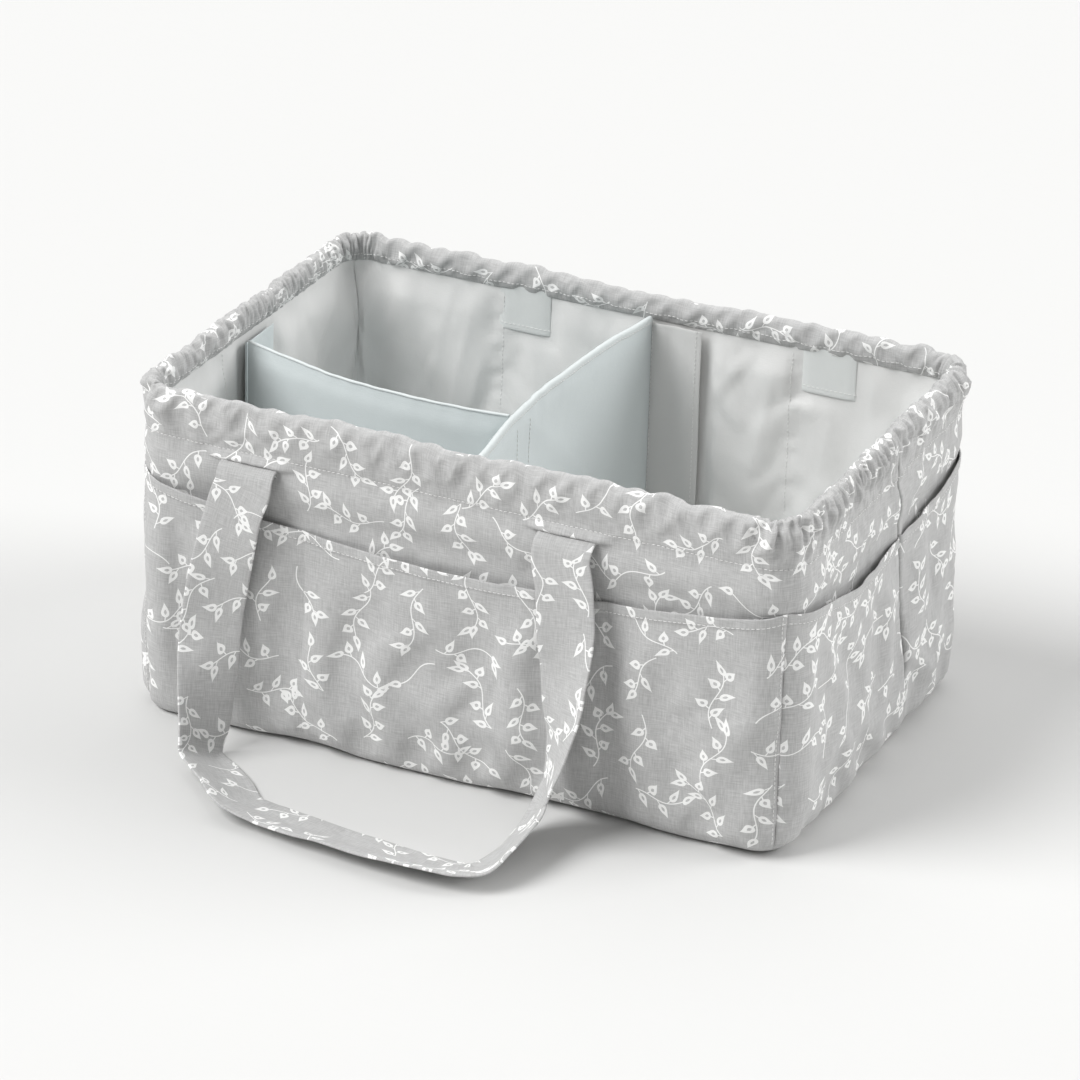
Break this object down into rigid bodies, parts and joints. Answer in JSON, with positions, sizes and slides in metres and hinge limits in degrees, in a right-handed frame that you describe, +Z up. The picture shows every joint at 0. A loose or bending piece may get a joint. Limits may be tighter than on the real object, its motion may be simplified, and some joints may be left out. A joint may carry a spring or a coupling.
{
  "type": "diaper caddy",
  "caption": "Soft fabric caddy with a gathered elastic rim, outside pockets, loop handles and lift-out dividers, for carrying nappies and care items.",
  "frame": {"origin": "on the floor under the middle of the caddy", "axes": "+Z up, -Y towards the front, where the visible handle lies, +X to the right seen from the front"},
  "size_m": [0.4172, 0.4856, 0.202],
  "materials": {
    "printed_cotton": "grey melange plain weave with a white leaf-sprig print",
    "lining_nylon": "smooth pale grey nylon",
    "divider_cloth": "smooth pale mint nylon",
    "hook_and_loop_tape": "white hook and loop tape",
    "elastic_band": "white knitted elastic",
    "stiffener_board": "dense stiffening board"
  },
  "bodies": {
    "caddy": {"outer_front_shell": "printed_cotton", "outer_back_shell": "printed_cotton", "outer_base_panel": "printed_cotton", "base_board": "stiffener_board", "lining_base": "lining_nylon", "front_board": "stiffener_board", "lining_front": "lining_nylon", "front_pocket_panel": "printed_cotton", "back_board": "stiffener_board", "lining_back": "lining_nylon", "back_pocket_panel": "printed_cotton", "left_board": "stiffener_board", "lining_left": "lining_nylon", "left_pocket_panel": "printed_cotton", "right_board": "stiffener_board", "lining_right": "lining_nylon", "right_pocket_panel": "printed_cotton", "front_rim_casing": "printed_cotton", "back_rim_casing": "printed_cotton", "rim_elastic": "elastic_band", "front_handle_left_end": "printed_cotton", "front_left_patch": "divider_cloth", "front_handle_right_end": "printed_cotton", "front_right_patch": "divider_cloth", "back_handle_left_end": "printed_cotton", "back_left_patch": "divider_cloth", "back_handle_right_end": "printed_cotton", "back_right_patch": "divider_cloth", "front_wall_loop_tape": "hook_and_loop_tape", "back_wall_loop_tape": "hook_and_loop_tape", "left_wall_loop_tape": "hook_and_loop_tape"},
    "front_handle": {"front_handle_strap": "printed_cotton"},
    "back_handle": {"back_handle_strap": "printed_cotton"},
    "main_divider": {"main_divider_cover": "divider_cloth", "main_divider_board": "stiffener_board", "main_divider_front_flap": "lining_nylon", "main_divider_back_flap": "lining_nylon", "main_divider_front_hook_tape": "hook_and_loop_tape", "main_divider_back_hook_tape": "hook_and_loop_tape", "main_divider_loop_tape": "hook_and_loop_tape"},
    "cross_divider": {"cross_divider_cover": "divider_cloth", "cross_divider_board": "stiffener_board", "cross_divider_wall_flap": "lining_nylon", "cross_divider_main_flap": "lining_nylon", "cross_divider_wall_hook_tape": "hook_and_loop_tape", "cross_divider_main_hook_tape": "hook_and_loop_tape"}
  },
  "joints": [
    {"name": "front_handle_swing", "type": "hinge", "parent": "caddy", "child": "front_handle", "pos_m": [0, -0.1385, 0.1729], "axis": [-1, 0, 0], "range_deg": [0, 145]},
    {"name": "back_handle_swing", "type": "hinge", "parent": "caddy", "child": "back_handle", "pos_m": [0, 0.1385, 0.1729], "axis": [1, 0, 0], "range_deg": [0, 145]},
    {"name": "main_divider_lift", "type": "slide", "parent": "caddy", "child": "main_divider", "axis": [0, 0, 1], "range_m": [0, 0.2]},
    {"name": "cross_divider_lift", "type": "slide", "parent": "caddy", "child": "cross_divider", "axis": [0, 0, 1], "range_m": [0, 0.2]}
  ]
}
